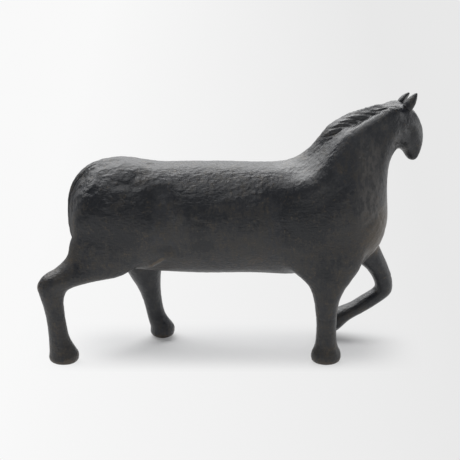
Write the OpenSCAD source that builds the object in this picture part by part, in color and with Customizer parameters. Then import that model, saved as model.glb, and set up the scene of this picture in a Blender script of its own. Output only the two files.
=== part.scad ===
// Walking horse, a shelf ornament in dark patinated bronze.
// The figure is cast in sections: a hollow trunk with the four upper limbs on it, a hollow neck
// that sleeves into the trunk, a solid head, two ears, a tail strip and four solid lower legs.
// The sections seat on sleeve, dowel, tenons and studs, and are pinned, brazed and chased flush.
// +X is the way the horse faces, +Y its left side, +Z up. The floor is Z = 0, and the origin
// lies under the middle of the overall length. Sizes are in millimetres.

/* [Trunk] */
// Length from the rump to the front of the chest
trunk_length = 250; // [232:1:270]
// Height of the barrel's axis above the floor
axis_height = 113; // [108:1:120]
// Height of the barrel from belly to back
barrel_height = 89; // [82:1:98]
// Width of the barrel
barrel_width = 78; // [72:1:84]
// Rise of the croup above the back
croup_rise = 3; // [0:0.5:6]
// Thickness of the cast wall of trunk and neck
wall = 4; // [3:0.25:5]

/* [Neck and head] */
// Height of the poll, where the ears sit, above the back
poll_rise = 47; // [42:1:54]
// Height of the hogged mane above the crest of the neck
mane_height = 4.5; // [2:0.5:6]
// Distance of the nose in front of the chest
head_reach = 31; // [27:1:36]
// Length of the head from poll to chin
head_length = 48; // [43:1:53]
// Width of the neck at the throat
throat_width = 34; // [30:1:38]
// Width of the head at the cheeks
head_width = 26; // [23:1:30]
// Width of the muzzle
muzzle_width = 17; // [14:1:20]
// Turn of the head to the horse's left, in degrees
head_turn = 20; // [0:1:24]

/* [Ears] */
// Length of the right ear above its seat
right_ear_length = 14.5; // [12:0.5:18]
// Length of the left ear above its seat
left_ear_length = 12; // [10:0.5:16]
// Width of an ear
ear_width = 7; // [6:0.25:8]
// Thickness of an ear
ear_thickness = 5; // [4:0.25:5.5]
// Distance between the two ears
ear_spacing = 13; // [11.5:0.5:15]
// Lean of the right ear towards the nose, in degrees
right_ear_lean = 34; // [20:1:40]
// Lean of the left ear towards the nose, in degrees
left_ear_lean = 44; // [30:1:50]
// Splay of the ears to the sides, in degrees
ear_splay = 4; // [0:1:12]
// Turn of the ears' hollows towards the middle, in degrees
ear_facing = 40; // [0:5:80]
// Depth of the ears' flat seats in the poll
ear_seat_depth = 1; // [0.75:0.25:1.5]

/* [Tail] */
// Width of the tail strip
tail_width = 12; // [8:0.5:15]
// Thickness of the tail strip
tail_thickness = 3; // [2:0.25:4]

/* [Legs] */
// Distance between the left and right feet
leg_spacing = 58; // [54:1:62]
// Distance of the right hock behind the rump
hock_reach = 26; // [20:1:32]
// Height of the right hock above the floor
hock_height = 64; // [60:1:68]
// Distance of the right fore foot behind the front of the chest
fore_setback = 47; // [43:1:53]
// Distance of the left hind foot in front of the rump
hind_advance = 71; // [66:1:78]
// Reach of the raised left knee past the front of the chest
knee_reach = 9.5; // [6:0.5:13]
// Height of the raised left knee above the floor
knee_height = 40; // [38:1:43]
// Thickness of a cannon from front to back
cannon_depth = 16; // [14.5:0.5:18]
// Width of a cannon
cannon_width = 16; // [14.5:0.5:18]
// Length of a hoof from heel to toe
hoof_length = 24; // [21:0.5:27]
// Length of the left hind hoof, which is smaller
left_hind_hoof_length = 19.5; // [19:0.5:24]
// Width of a hoof
hoof_width = 22; // [20:0.5:25]
// Height of a hoof
hoof_height = 9; // [7:0.5:11]

/* [Joints] */
// Gap left for the brazing metal all round a joint
braze_gap = 0.1; // [0.05:0.05:0.2]
// Diameter of a leg's tenon
tenon_d = 8; // [6:0.5:9]
// Length of a leg's tenon
tenon_length = 12; // [10:0.5:14]
// Diameter of the pins
pin_d = 2.5; // [2:0.25:3]
// Length of the sleeve that the neck pushes into the trunk
sleeve_length = 10; // [8:0.5:12]
// Thickness of the sleeve
sleeve_wall = 2.5; // [2:0.25:3.5]
// Diameter of the dowel between neck and head
dowel_d = 8; // [6:0.5:10]
// Length of the dowel between neck and head
dowel_length = 20; // [16:1:24]
// Diameter of the studs under the ears
ear_stud_d = 2.5; // [2:0.25:3]
// Length of the studs under the ears
ear_stud_length = 6; // [4:0.5:8]
// Diameter of the studs behind the tail
tail_stud_d = 4; // [3:0.25:5]
// Length of the studs behind the tail
tail_stud_length = 5; // [4:0.5:6]

/* [Plugs and pads] */
// Diameter of the plugs in the core pin holes
core_plug_d = 6; // [4:0.5:8]
// Diameter of the plug in the belly, where the core was dug out
belly_plug_d = 16; // [12:1:18]
// Depth of the pins and plugs below the chased surface
set_in = 0.8; // [0.5:0.1:1]
// Diameter of the felt pads under the hooves
pad_d = 12; // [9:0.5:12.5]
// Diameter of the felt pad under the raised toe
toe_pad_d = 6; // [4:0.5:6.5]
// Thickness of the felt pads
pad_thickness = 1; // [0.75:0.25:1.5]

/* [Hidden] */
bronze = "#2e2b28";
pin_bronze = "#8a6a3a";
felt = "#26241f";
$fn = 40;
// Points round a section of the body, a limb and an ear, and steps from row to row
BODY_SIDES = 32;
LIMB_SIDES = 24;
EAR_SIDES = 16;
STEPS = 3;
CAVITY_STEPS = 15;
// Extra length of the cutters that open through a surface, in millimetres and in rows
past = 3;
rows_past = 0.2;
// Sharpness of the mane's edge, spread of the neck's pins in degrees, and room round an ear's foot
MANE_EDGE = 60;
PIN_SPREAD = 20;
ear_room = 0.6;

// Places along the length, with the hock and the turned face equally far from the origin.
// The shares of the trunk's length are those of the neck joint's upper and lower end.
NECK_TOP = 0.873;
NECK_FRONT = 0.998;
neck_setback = (1 - (NECK_TOP + NECK_FRONT) / 2) * trunk_length;
face_reach = (neck_setback + head_reach) * cos(head_turn) - neck_setback;
hock_x = -(hock_reach + trunk_length + face_reach) / 2;
rump_x = hock_x + hock_reach;
chest_x = rump_x + trunk_length;
// Heights of the back, belly, poll and chin, and half widths
back_z = axis_height + barrel_height / 2;
belly_z = axis_height - barrel_height / 2;
poll_z = back_z + poll_rise;
chin_z = poll_z - head_length;
flank = barrel_width / 2;
foot_y = leg_spacing / 2;
raised_y = 1.07 * foot_y;
// Places of the feet and of the raised knee
right_fore_x = chest_x - fore_setback;
right_hind_x = hock_x + hoof_length * 0.83;
left_hind_x = rump_x + hind_advance;
knee_x = chest_x + knee_reach;
toe_x = right_fore_x + hoof_length / 8;

// Shares of the trunk's length and half height, of the neck's rise, and of the head
function trunk_x(s) = rump_x + s * trunk_length;
function trunk_z(s) = axis_height + s * barrel_height / 2;
function neck_z(s) = back_z + s * poll_rise;
function head_x(s) = chest_x + s * head_reach;
function head_z(s) = chin_z + s * head_length;

// The body from the rump to the chin, in rows. A row is a section across it: x and z of the upper
// end, x and z of the lower end, half the width, the crest, which is below 0 where the section
// narrows upwards, and the height of the mane.
function body_row(x1, z1, x2, z2, half_width, crest = 0, mane = 0) =
    [x1, z1, x2, z2, 0, half_width, crest, mane];
BODY = [
    body_row(trunk_x(0), trunk_z(0.11), trunk_x(0), trunk_z(-0.11), 0.13 * flank),
    body_row(trunk_x(0.006), trunk_z(0.4), trunk_x(0.008), trunk_z(-0.33), 0.45 * flank),
    body_row(trunk_x(0.028), trunk_z(0.71), trunk_x(0.032), trunk_z(-0.58), 0.73 * flank),
    body_row(trunk_x(0.079), trunk_z(0.95) + croup_rise / 3, trunk_x(0.079), trunk_z(-0.78), 0.9 * flank),
    body_row(trunk_x(0.159), trunk_z(1) + croup_rise, trunk_x(0.159), trunk_z(-0.91), 0.98 * flank),
    body_row(trunk_x(0.278), trunk_z(1) + croup_rise / 4, trunk_x(0.278), trunk_z(-0.98), 0.99 * flank),
    body_row(trunk_x(0.409), trunk_z(0.99), trunk_x(0.409), trunk_z(-1), flank),
    body_row(trunk_x(0.54), trunk_z(1), trunk_x(0.54), trunk_z(-1), flank),
    body_row(trunk_x(0.655), trunk_z(1), trunk_x(0.675), trunk_z(-1), flank),
    body_row(trunk_x(0.725), neck_z(0.065), trunk_x(0.786), trunk_z(-0.98), 0.97 * flank),
    body_row(trunk_x(0.773), neck_z(0.29), trunk_x(0.893), trunk_z(-0.91), 0.92 * flank,
             -0.08, 0.3 * mane_height),
    body_row(trunk_x(0.825), neck_z(0.565), trunk_x(0.968), trunk_z(-0.62), 0.85 * flank,
             -0.15, 0.8 * mane_height),
    body_row(trunk_x(NECK_TOP), neck_z(0.755), trunk_x(NECK_FRONT), trunk_z(-0.156), 0.76 * flank,
             -0.2, mane_height),
    body_row(trunk_x(0.921), neck_z(0.865), trunk_x(1), head_z(-0.6), 0.72 * throat_width,
             -0.22, 0.9 * mane_height),
    body_row(trunk_x(0.968), neck_z(0.96), trunk_x(0.996), head_z(-0.15), 0.6 * throat_width,
             -0.2, 0.6 * mane_height),
    body_row(head_x(0.107), neck_z(1), head_x(0.107), head_z(0.17), 0.5 * throat_width,
             -0.12, 0.3 * mane_height),
    body_row(head_x(0.464), head_z(0.978), head_x(0.268), head_z(0.25), 0.58 * head_width),
    body_row(head_x(0.75), head_z(0.848), head_x(0.393), head_z(0.25), 0.52 * head_width, 0.05),
    body_row(head_x(0.93), head_z(0.652), head_x(0.5), head_z(0.165), 0.44 * head_width, 0.08),
    body_row(head_x(1), head_z(0.435), head_x(0.571), head_z(0.08), 0.58 * muzzle_width, 0.05),
    body_row(head_x(0.954), head_z(0.239), head_x(0.643), head_z(0.02), 0.5 * muzzle_width),
    body_row(head_x(0.846), head_z(0.087), head_x(0.725), head_z(0), 0.36 * muzzle_width),
    body_row(head_x(0.79), head_z(0.02), head_x(0.765), head_z(0.005), 0.12 * muzzle_width)
];
// Rows where the sections are joined, where the cavity ends and where the ears and plugs sit
NECK_JOINT = 12;
HEAD_JOINT = 15;
CHIN = len(BODY) - 1;
CAVITY_END = 2.4;
EAR_ROW = 16.1;
CORE_PLUG_ROWS = [6, 7.4];
BELLY_PLUG_ROW = 6.5;

// The limbs, in rows from the root inside the trunk to the sole. The first end of a row is the
// front edge of the limb and the second its back edge.
function edge_row(x1, z1, x2, z2, y, half_width) = [x1, z1, x2, z2, y, half_width, 0, 0];
function limb_row(x, z, y, depth, width, slope = 0) =
    edge_row(x + depth / 2, z, x - depth / 2, z + slope, y, width / 2);
function cannon_row(x, z, y, share, slope = 0) =
    limb_row(x, z, y, share * cannon_depth, share * cannon_width, slope);
function hoof_rows(x, y, length) = [
    limb_row(x, pad_thickness + 0.9 * hoof_height, y, 0.96 * length, 0.94 * hoof_width),
    limb_row(x, pad_thickness + 0.45 * hoof_height, y, length, hoof_width),
    limb_row(x, pad_thickness + 0.13 * hoof_height, y, 0.92 * length, 0.96 * hoof_width),
    limb_row(x, pad_thickness, y, 0.75 * length, 0.8 * hoof_width)
];

RIGHT_FORE = concat([
    limb_row(right_fore_x - 0.3 * cannon_depth, 1.8 * belly_z, -0.54 * foot_y,
             4 * cannon_depth, 0.94 * flank),
    limb_row(right_fore_x - 0.38 * cannon_depth, 1.37 * belly_z, -0.76 * foot_y,
             4.75 * cannon_depth, 0.78 * flank),
    limb_row(right_fore_x + 0.05 * cannon_depth, 1.03 * belly_z, -0.88 * foot_y,
             2.5 * cannon_depth, 0.64 * flank),
    limb_row(right_fore_x + 0.05 * cannon_depth, 0.9 * belly_z, -0.95 * foot_y,
             1.7 * cannon_depth, 0.54 * flank),
    cannon_row(right_fore_x, 0.74 * belly_z, -0.98 * foot_y, 1.22),
    cannon_row(right_fore_x, 0.56 * belly_z, -foot_y, 1.04),
    cannon_row(right_fore_x, 0.4 * belly_z, -foot_y, 1),
    cannon_row(right_fore_x, 0.235 * belly_z, -foot_y, 1.1)
], hoof_rows(right_fore_x, -foot_y, hoof_length));

RIGHT_HIND = concat([
    edge_row(trunk_x(0.23), trunk_z(-0.02), trunk_x(0.06), trunk_z(0.2), -0.55 * foot_y, 0.52 * flank),
    edge_row(trunk_x(0.258), 1.41 * hock_height, trunk_x(0.005), 1.57 * hock_height,
             -0.72 * foot_y, 0.43 * flank),
    edge_row(trunk_x(0.175), 1.14 * hock_height, rump_x - 0.06 * hock_reach, 1.38 * hock_height,
             -0.8 * foot_y, 0.37 * flank),
    edge_row(trunk_x(0.083), 1.07 * hock_height, rump_x - 0.4 * hock_reach, 1.22 * hock_height,
             -0.89 * foot_y, 0.31 * flank),
    edge_row(trunk_x(0.021), 1.01 * hock_height, rump_x - 0.8 * hock_reach, 1.135 * hock_height,
             -0.95 * foot_y, 0.26 * flank),
    edge_row(rump_x - 0.08 * hock_reach, 0.95 * hock_height, hock_x, 1.01 * hock_height,
             -0.98 * foot_y, 0.235 * flank),
    edge_row(rump_x - 0.19 * hock_reach, 0.84 * hock_height, hock_x + 0.07 * hock_reach, 0.89 * hock_height,
             -foot_y, 0.22 * flank),
    cannon_row(hock_x + 0.82 * cannon_depth, 0.71 * hock_height, -foot_y, 1),
    cannon_row(hock_x + 0.92 * cannon_depth, 0.53 * hock_height, -foot_y, 0.95),
    cannon_row(hock_x + 1.04 * cannon_depth, 0.32 * hock_height, -foot_y, 1.05)
], hoof_rows(right_hind_x, -foot_y, hoof_length));

LEFT_HIND = concat([
    edge_row(left_hind_x + 0.1 * cannon_depth, trunk_z(-0.02), trunk_x(0.12), trunk_z(0.15),
             0.55 * foot_y, 0.52 * flank),
    edge_row(left_hind_x + 0.2 * cannon_depth, 1.24 * belly_z, trunk_x(0.093), 1.35 * belly_z,
             0.78 * foot_y, 0.41 * flank),
    limb_row(left_hind_x - 1.05 * cannon_depth, 0.91 * belly_z, 0.86 * foot_y, 2 * cannon_depth,
             0.64 * flank, 0.06 * belly_z),
    limb_row(left_hind_x - 0.85 * cannon_depth, 0.74 * belly_z, 0.93 * foot_y, 1.42 * cannon_depth,
             0.54 * flank, 0.04 * belly_z),
    cannon_row(left_hind_x - 0.65 * cannon_depth, 0.59 * belly_z, 0.97 * foot_y, 1.1, 0.04 * belly_z),
    cannon_row(left_hind_x - 0.5 * cannon_depth, 0.44 * belly_z, foot_y, 0.92, 0.02 * belly_z),
    cannon_row(left_hind_x - 0.3 * cannon_depth, 0.28 * belly_z, foot_y, 0.9, 0.01 * belly_z)
], hoof_rows(left_hind_x, foot_y, left_hind_hoof_length));

// The raised fore leg runs forwards to the knee and back to the toe, which just rests
function knee_row(front_x, front_z, back_x, back_z, y, width) =
    edge_row(knee_x - front_x * cannon_depth, front_z * knee_height, knee_x - back_x * cannon_depth,
             back_z * knee_height, y * raised_y, width * cannon_width / 2);
LEFT_FORE = [
    knee_row(1.4, 2.7, 3.1, 2.7, 0.52, 2.1),
    knee_row(0.72, 1.98, 2.64, 1.95, 0.77, 1.6),
    knee_row(0.34, 1.55, 1.44, 1.52, 0.9, 1.3),
    knee_row(0.09, 1.3, 1.02, 1.29, 0.96, 1.15),
    knee_row(0, 1.1, 0.89, 1.14, 0.99, 1.1),
    knee_row(0.06, 0.93, 0.92, 1.05, 1, 1.08),
    knee_row(0.37, 0.79, 1.12, 0.97, 1, 1.04),
    knee_row(0.91, 0.65, 1.54, 0.86, 1, 1),
    knee_row(1.55, 0.49, 2.07, 0.72, 1, 1.02),
    knee_row(2.19, 0.34, 2.55, 0.63, 1, 1.14),
    knee_row(2.74, 0.13, 2.94, 0.57, 1, 1.28),
    edge_row(toe_x, -0.02 * knee_height, toe_x - 0.1 * cannon_depth, 0.52 * knee_height,
             raised_y, 0.65 * cannon_width),
    edge_row(toe_x - 0.22 * cannon_depth, 0.03 * knee_height, toe_x - 0.34 * cannon_depth,
             0.43 * knee_height, raised_y, 0.53 * cannon_width)
];

// Each limb with the row where its lower leg is joined
RIGHT_FORE_LEG = [RIGHT_FORE, 5];
LEFT_FORE_LEG = [LEFT_FORE, 3];
RIGHT_HIND_LEG = [RIGHT_HIND, 7];
LEFT_HIND_LEG = [LEFT_HIND, 5];
LEGS = [RIGHT_FORE_LEG, LEFT_FORE_LEG, RIGHT_HIND_LEG, LEFT_HIND_LEG];

// Row at a place u along the rows, on a smooth curve through them
function row_at(rows, u) = let (
        last = len(rows) - 1,
        i = max(0, min(floor(u), last - 1)),
        t = u - i,
        b = rows[i],
        c = rows[i + 1],
        a = i > 0 ? rows[i - 1] : 2 * b - c,
        d = i + 2 <= last ? rows[i + 2] : 2 * c - b)
    b + (t * (c - a) + t * t * (2 * a - 5 * b + 4 * c - d) + t * t * t * (3 * b - a - 3 * c + d)) / 2;

// Places from one row to another in equal steps
function places(first, last) = let (count = max(1, round(abs(last - first) * STEPS)))
    [for (i = [0 : count]) first + (last - first) * i / count];

// Middle of a row's section, half section from there to its upper end, and its normal
function middle(r) = [(r[0] + r[2]) / 2, r[4], (r[1] + r[3]) / 2];
function half_section(r) = [(r[0] - r[2]) / 2, 0, (r[1] - r[3]) / 2];
function normal(r) = let (h = half_section(r)) [h[2], 0, -h[0]] / norm(h);

// Point of a row's section at angle a from its upper end, drawn in by inset
function section_point(r, a, inset = 0) = let (
        half = half_section(r),
        reach = norm(half) - inset + (inset > 0 ? 0 : r[7] * pow(max(0, cos(a)), MANE_EDGE)),
        side = r[5] - inset)
    middle(r) + half / norm(half) * (reach * cos(a)) + [0, side * sin(a) * (1 + r[6] * cos(a)), 0];
function ring(r, sides, inset = 0) =
    [for (k = [0 : sides - 1]) section_point(r, 360 * k / sides, inset)];

// The neck and head turn to the left about an upright axis in the neck's joint
turn_x = middle(BODY[NECK_JOINT])[0];
function turn_at(u) = let (t = max(0, min(1, (u - NECK_JOINT) / (HEAD_JOINT + 1 - NECK_JOINT))))
    head_turn * t * t * (3 - 2 * t);
function swung(v, angle) =
    [v[0] * cos(angle) - v[1] * sin(angle), v[0] * sin(angle) + v[1] * cos(angle), v[2]];
function turned(p, angle) = [turn_x, 0, 0] + swung(p - [turn_x, 0, 0], angle);
function body_ring(u, inset = 0) =
    [for (p = ring(row_at(BODY, u), BODY_SIDES, inset)) turned(p, turn_at(u))];

// Closed solid through rings that all have the same number of points
module skin(rings) {
    sides = len(rings[0]);
    count = len(rings);
    polyhedron(
        points = [for (r = rings) each r],
        faces = concat(
            [[for (k = [sides - 1 : -1 : 0]) k]],
            [for (i = [0 : count - 2], k = [0 : sides - 1], half = [0, 1])
                let (here = i * sides, next = here + sides, k2 = (k + 1) % sides)
                half == 0 ? [here + k, here + k2, next + k2] : [here + k, next + k2, next + k]],
            [[for (k = [0 : sides - 1]) (count - 1) * sides + k]]));
}

// Cylinder of diameter d between two points
module rod(from, to, d) {
    v = to - from;
    translate(from)
        rotate([0, acos(v[2] / norm(v)), atan2(v[1], v[0])])
            cylinder(h = norm(v), d = d);
}

// Leg joints: the tenon runs up the middle of the limb, and its pin crosses it halfway
function tenon_foot(leg) = middle(leg[0][leg[1]]);
function limb_step(leg) = middle(row_at(leg[0], leg[1] - 1)) - tenon_foot(leg);
function tenon_way(leg) = limb_step(leg) / norm(limb_step(leg));
function pin_row(leg) = row_at(leg[0], leg[1] - tenon_length / 2 / norm(limb_step(leg)));
function limb_rings(leg, first, last) =
    [for (u = places(first, last)) ring(row_at(leg[0], u), LIMB_SIDES)];

module tenon(leg) {
    rod(tenon_foot(leg) - tenon_way(leg) * past, tenon_foot(leg) + tenon_way(leg) * tenon_length, tenon_d);
}

module tenon_bore(leg) {
    rod(tenon_foot(leg) - tenon_way(leg) * past,
        tenon_foot(leg) + tenon_way(leg) * (tenon_length + braze_gap), tenon_d + 2 * braze_gap);
}

module leg_pin(leg) {
    reach = [0, pin_row(leg)[5] - set_in, 0];
    rod(middle(pin_row(leg)) - reach, middle(pin_row(leg)) + reach, pin_d);
}

module leg_pin_bore(leg) {
    reach = [0, pin_row(leg)[5] + past, 0];
    rod(middle(pin_row(leg)) - reach, middle(pin_row(leg)) + reach, pin_d + 2 * braze_gap);
}

// Neck joint: a sleeve on the neck fits the trunk's mouth, with two pins on each side
sleeve_rows = sleeve_length / norm(middle(BODY[NECK_JOINT]) - middle(BODY[NECK_JOINT - 1]));
SLEEVE_END = NECK_JOINT - sleeve_rows;
sleeve_inset = wall + braze_gap;
bore_inset = sleeve_inset + sleeve_wall;
neck_pin_row = row_at(BODY, NECK_JOINT - sleeve_rows / 2);
NECK_PINS = [for (side = [90, -90], spread = [-PIN_SPREAD, PIN_SPREAD])
    section_point(neck_pin_row, side + spread)];
function inwards(p) = [0, -sign(p[1]), 0];

module neck_pin_bores() {
    for (p = NECK_PINS)
        rod(p - inwards(p) * past, p + inwards(p) * (bore_inset + past), pin_d + 2 * braze_gap);
}

module neck_joint_pins() {
    color(pin_bronze)
        for (p = NECK_PINS) rod(p + inwards(p) * set_in, p + inwards(p) * bore_inset, pin_d);
}

// Head joint: a dowel across the joint's face
head_joint_row = BODY[HEAD_JOINT];
dowel_place = turned(middle(head_joint_row), turn_at(HEAD_JOINT));
dowel_way = swung(normal(head_joint_row), turn_at(HEAD_JOINT));
neck_end_rows = (dowel_length / 2 + wall) / norm(middle(BODY[HEAD_JOINT]) - middle(BODY[HEAD_JOINT - 1]));

module dowel(gap) {
    reach = dowel_way * (dowel_length / 2 + gap);
    rod(dowel_place - reach, dowel_place + reach, dowel_d + 2 * gap);
}

module head_dowel() {
    color(pin_bronze) dowel(0);
}

// Plugs in the trunk's wall, on both flanks and in the belly
CORE_PLUGS = [for (u = CORE_PLUG_ROWS, side = [90, -90]) section_point(row_at(BODY, u), side)];
belly_place = section_point(row_at(BODY, BELLY_PLUG_ROW), 180);
// The belly plug is flat, so it lies deeper by the height of the belly's curve across it
belly_radius = flank * flank / (barrel_height / 2);
belly_sink = set_in + belly_plug_d * belly_plug_d / 8 / belly_radius;

module core_plugs() {
    color(pin_bronze)
        for (p = CORE_PLUGS) rod(p + inwards(p) * set_in, p + inwards(p) * wall, core_plug_d);
}

module belly_plug() {
    color(bronze) rod(belly_place + [0, 0, belly_sink], belly_place + [0, 0, wall], belly_plug_d);
}

module plug_bores() {
    for (p = CORE_PLUGS)
        rod(p - inwards(p) * past, p + inwards(p) * (wall + past), core_plug_d + 2 * braze_gap);
    rod(belly_place - [0, 0, past], belly_place + [0, 0, wall + past], belly_plug_d + 2 * braze_gap);
}

module trunk_casting() {
    cavity_places = [for (i = [0 : CAVITY_STEPS])
        CAVITY_END + (SLEEVE_END - CAVITY_END) * i / CAVITY_STEPS];
    color(bronze) difference() {
        union() {
            skin([for (u = places(0, NECK_JOINT)) body_ring(u)]);
            for (leg = LEGS) skin(limb_rings(leg, 0, leg[1]));
        }
        skin([for (u = concat(cavity_places, [NECK_JOINT, NECK_JOINT + rows_past])) body_ring(u, wall)]);
        for (leg = LEGS) {
            tenon_bore(leg);
            leg_pin_bore(leg);
        }
        neck_pin_bores();
        plug_bores();
        for (i = TAIL_STUDS) tail_stud(i, braze_gap);
    }
}

// The neck's cavity, then its sleeve, then its outside, as one run of rings
module neck_casting() {
    cavity = [for (u = concat(places(HEAD_JOINT - neck_end_rows, NECK_JOINT), [SLEEVE_END]))
        body_ring(u, bore_inset)];
    sleeve = [for (u = [SLEEVE_END, NECK_JOINT]) body_ring(u, sleeve_inset)];
    outside = [for (u = places(NECK_JOINT, HEAD_JOINT)) body_ring(u)];
    color(bronze) difference() {
        skin(concat(cavity, sleeve, outside));
        neck_pin_bores();
        dowel(braze_gap);
    }
}

// Ears: a flat seat is cut in the poll, and a stud under the ear goes into it
ear_row = row_at(BODY, EAR_ROW);
ear_turn = turn_at(EAR_ROW);
function ear_place(side) = let (a = asin(ear_spacing / 2 / ear_row[5])) section_point(ear_row, -side * a);
// Rows of an ear: share of its length, of its width and of its thickness, and depth of its hollow
EAR = [[0, 0.9, 0.9, 0], [0.1, 0.95, 0.95, 0.1], [0.3, 1, 1, 0.6], [0.5, 0.95, 0.95, 0.75],
       [0.7, 0.78, 0.8, 0.6], [0.88, 0.45, 0.5, 0.25], [1, 0.12, 0.2, 0]];
function ear_length(side) = side > 0 ? right_ear_length : left_ear_length;
ear_seat_d = EAR[0][1] * ear_width + ear_room;
function ear_ring(r, side) = [for (k = [0 : EAR_SIDES - 1]) let (a = -360 * k / EAR_SIDES)
    [r[2] * ear_thickness / 2 * (cos(a) - r[3] * pow(max(0, cos(a)), 2)),
     r[1] * ear_width / 2 * sin(a), r[0] * ear_length(side)]];

// Places what is drawn upright at the origin on the seat of the right ear, or of the left with side -1
module at_ear(side) {
    translate([turn_x, 0, 0]) rotate(ear_turn) translate(ear_place(side) - [turn_x, 0, 0])
        rotate([side * ear_splay, side > 0 ? right_ear_lean : left_ear_lean, 0])
            translate([0, 0, -ear_seat_depth]) children();
}

module ear(side) {
    color(bronze) at_ear(side) {
        rotate(side * ear_facing) skin([for (u = places(0, len(EAR) - 1)) ear_ring(row_at(EAR, u), side)]);
        translate([0, 0, -ear_stud_length])
            cylinder(h = ear_stud_length + ear_thickness / 2, d = ear_stud_d);
    }
}

module head_casting() {
    color(bronze) difference() {
        skin([for (u = places(HEAD_JOINT, CHIN)) body_ring(u)]);
        dowel(braze_gap);
        for (side = [1, -1]) at_ear(side) {
            cylinder(h = ear_length(side), d = ear_seat_d);
            translate([0, 0, -ear_stud_length - braze_gap])
                cylinder(h = ear_stud_length + past, d = ear_stud_d + 2 * braze_gap);
        }
    }
}

// Tail: a strip of half-round section that follows the rear outline, with two studs behind it
TAIL_TOP = 10;
TAIL_TIP = 4;
TAIL_PATH = concat([for (i = [TAIL_TOP : -1 : 0]) let (r = row_at(BODY, i / STEPS)) [r[0], 0, r[1]]],
                   [for (i = [0 : TAIL_TIP]) let (r = row_at(BODY, i / STEPS)) [r[2], 0, r[3]]]);
TAIL_STUDS = [3, 10];
TAIL_SIDES = 8;
function tail_outwards(i) = let (
        v = TAIL_PATH[min(i + 1, len(TAIL_PATH) - 1)] - TAIL_PATH[max(i - 1, 0)])
    [v[2], 0, -v[0]] / norm(v);
function tail_ring(i) = let (
        t = i / (len(TAIL_PATH) - 1),
        fullness = 0.35 + 0.65 * sin(180 * pow(t, 0.7)),
        thick = tail_thickness * fullness,
        half = tail_width / 2 * (0.6 + 0.4 * fullness))
    [for (k = [0 : TAIL_SIDES]) let (a = 180 * k / TAIL_SIDES)
        TAIL_PATH[i] + tail_outwards(i) * (braze_gap + thick * sin(a)) + [0, half * cos(a), 0]];

module tail_stud(i, gap) {
    rod(TAIL_PATH[i] + tail_outwards(i) * tail_thickness / 3,
        TAIL_PATH[i] - tail_outwards(i) * (tail_stud_length + gap), tail_stud_d + 2 * gap);
}

module tail() {
    color(bronze) {
        skin([for (i = [0 : len(TAIL_PATH) - 1]) tail_ring(i)]);
        for (i = TAIL_STUDS) tail_stud(i, 0);
    }
}

module lower_leg(leg) {
    color(bronze) difference() {
        union() {
            skin(limb_rings(leg, leg[1], len(leg[0]) - 1));
            tenon(leg);
        }
        leg_pin_bore(leg);
    }
}

// The toe of the raised leg is cut flat where it rests
module raised_leg() {
    color(bronze) difference() {
        lower_leg(LEFT_FORE_LEG);
        translate([toe_x - hoof_length, 0, -past])
            cube([2 * hoof_length, 2 * raised_y, past + pad_thickness]);
    }
}

module leg_joint_pins() {
    color(pin_bronze) for (leg = LEGS) leg_pin(leg);
}

module pad(x, y, d) {
    color(felt) translate([x, y, 0]) cylinder(h = pad_thickness, d = d);
}

trunk_casting();
neck_casting();
head_casting();
ear(1);  // right_ear
ear(-1);  // left_ear
tail();
lower_leg(RIGHT_FORE_LEG);  // right_fore_leg
raised_leg();  // left_fore_leg
lower_leg(RIGHT_HIND_LEG);  // right_hind_leg
lower_leg(LEFT_HIND_LEG);  // left_hind_leg
neck_joint_pins();
head_dowel();
leg_joint_pins();
core_plugs();
belly_plug();
pad(right_fore_x, -foot_y, pad_d);  // right_fore_pad
pad(toe_x, raised_y, toe_pad_d);  // left_fore_pad
pad(right_hind_x, -foot_y, pad_d);  // right_hind_pad
pad(left_hind_x, foot_y, pad_d);  // left_hind_pad
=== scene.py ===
import math

import bmesh
import bpy
import numpy as np
from mathutils import Matrix, Vector, kdtree, noise


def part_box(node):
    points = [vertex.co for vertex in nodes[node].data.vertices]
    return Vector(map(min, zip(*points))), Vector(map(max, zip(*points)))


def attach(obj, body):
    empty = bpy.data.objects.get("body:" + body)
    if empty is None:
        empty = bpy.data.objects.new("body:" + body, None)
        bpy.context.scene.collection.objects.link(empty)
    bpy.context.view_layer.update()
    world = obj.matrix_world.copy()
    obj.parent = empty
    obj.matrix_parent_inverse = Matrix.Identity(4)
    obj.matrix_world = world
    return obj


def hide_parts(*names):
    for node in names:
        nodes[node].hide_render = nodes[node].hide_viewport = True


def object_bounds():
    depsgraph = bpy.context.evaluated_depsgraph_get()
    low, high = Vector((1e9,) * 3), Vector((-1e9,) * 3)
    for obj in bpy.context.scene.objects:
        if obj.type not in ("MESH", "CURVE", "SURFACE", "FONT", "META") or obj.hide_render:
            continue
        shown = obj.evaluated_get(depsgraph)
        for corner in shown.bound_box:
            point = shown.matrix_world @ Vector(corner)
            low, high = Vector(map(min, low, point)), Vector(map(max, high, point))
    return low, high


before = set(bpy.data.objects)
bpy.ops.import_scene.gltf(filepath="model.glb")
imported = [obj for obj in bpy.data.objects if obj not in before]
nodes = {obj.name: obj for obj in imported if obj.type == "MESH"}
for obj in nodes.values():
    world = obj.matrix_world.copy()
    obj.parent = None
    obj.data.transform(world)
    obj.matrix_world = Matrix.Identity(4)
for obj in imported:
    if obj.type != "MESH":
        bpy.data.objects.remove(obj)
cad_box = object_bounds()

# The modelled horse
# A bronze like this begins as one figure in wax, pressed and scraped to shape by hand, and is cut
# into sections only for casting. The castings' own mass gives the figure its form here.
MM = 0.001
GRAIN = 1.05
LEGS = ["right_fore_leg", "left_fore_leg", "right_hind_leg", "left_hind_leg"]
CASTINGS = ["trunk_casting", "neck_casting", "head_casting", *LEGS]
FILLINGS = ["neck_joint_pins", "head_dowel", "leg_joint_pins", "core_plugs", "belly_plug"]
EARS = ["right_ear", "left_ear"]
STUD_LENGTH = 6.2
TAIL_STUDS = [(-112.5, 0, 146.5), (-120.5, 0, 118)]
STUD_STOP_RADIUS = 4.5
SIDES = (-1, 1)


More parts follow.
